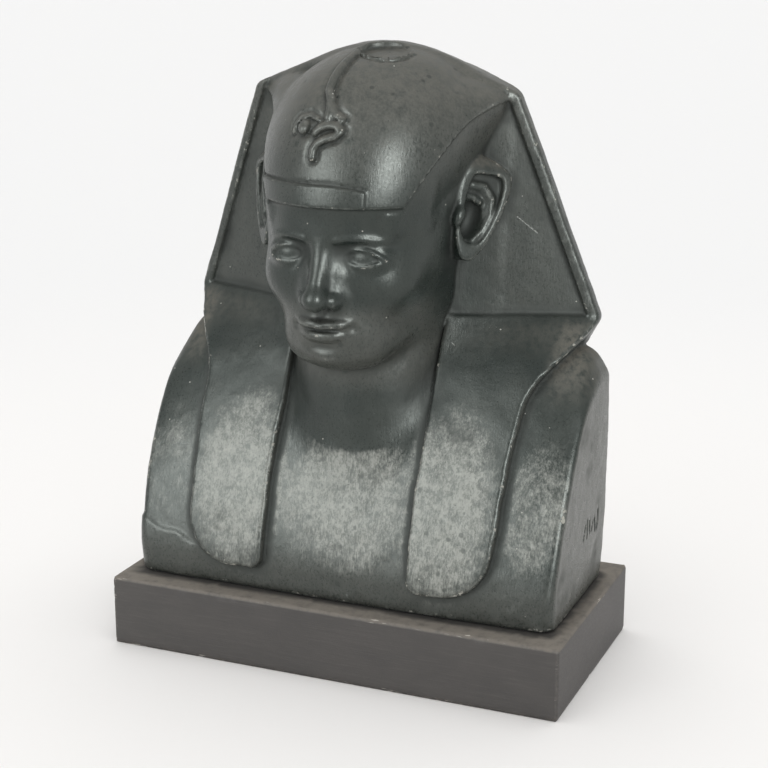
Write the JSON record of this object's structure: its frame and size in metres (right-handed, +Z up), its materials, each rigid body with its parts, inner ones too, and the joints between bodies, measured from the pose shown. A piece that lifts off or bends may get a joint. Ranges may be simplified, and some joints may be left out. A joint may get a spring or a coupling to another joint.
{
  "type": "pharaoh bust",
  "caption": "Desk-size cast plaster bust of a pharaoh in a plain headcloth, with a dark patina, on a low black wooden block plinth.",
  "frame": {"origin": "centre of the plinth's underside, where the part stands on a table", "axes": "+Z up, -Y the way the figure faces, +X to the figure's left, along the plinth's length"},
  "size_m": [0.165, 0.0911, 0.2116],
  "materials": {
    "bust": "plaster under a dark green-black patina, waxed to a soft sheen and worn paler on its high places",
    "plinth": "satin black paint over wood, dusty on top"
  },
  "bodies": {
    "root": {"bust": "bust", "plinth": "plinth"}
  },
  "joints": []
}
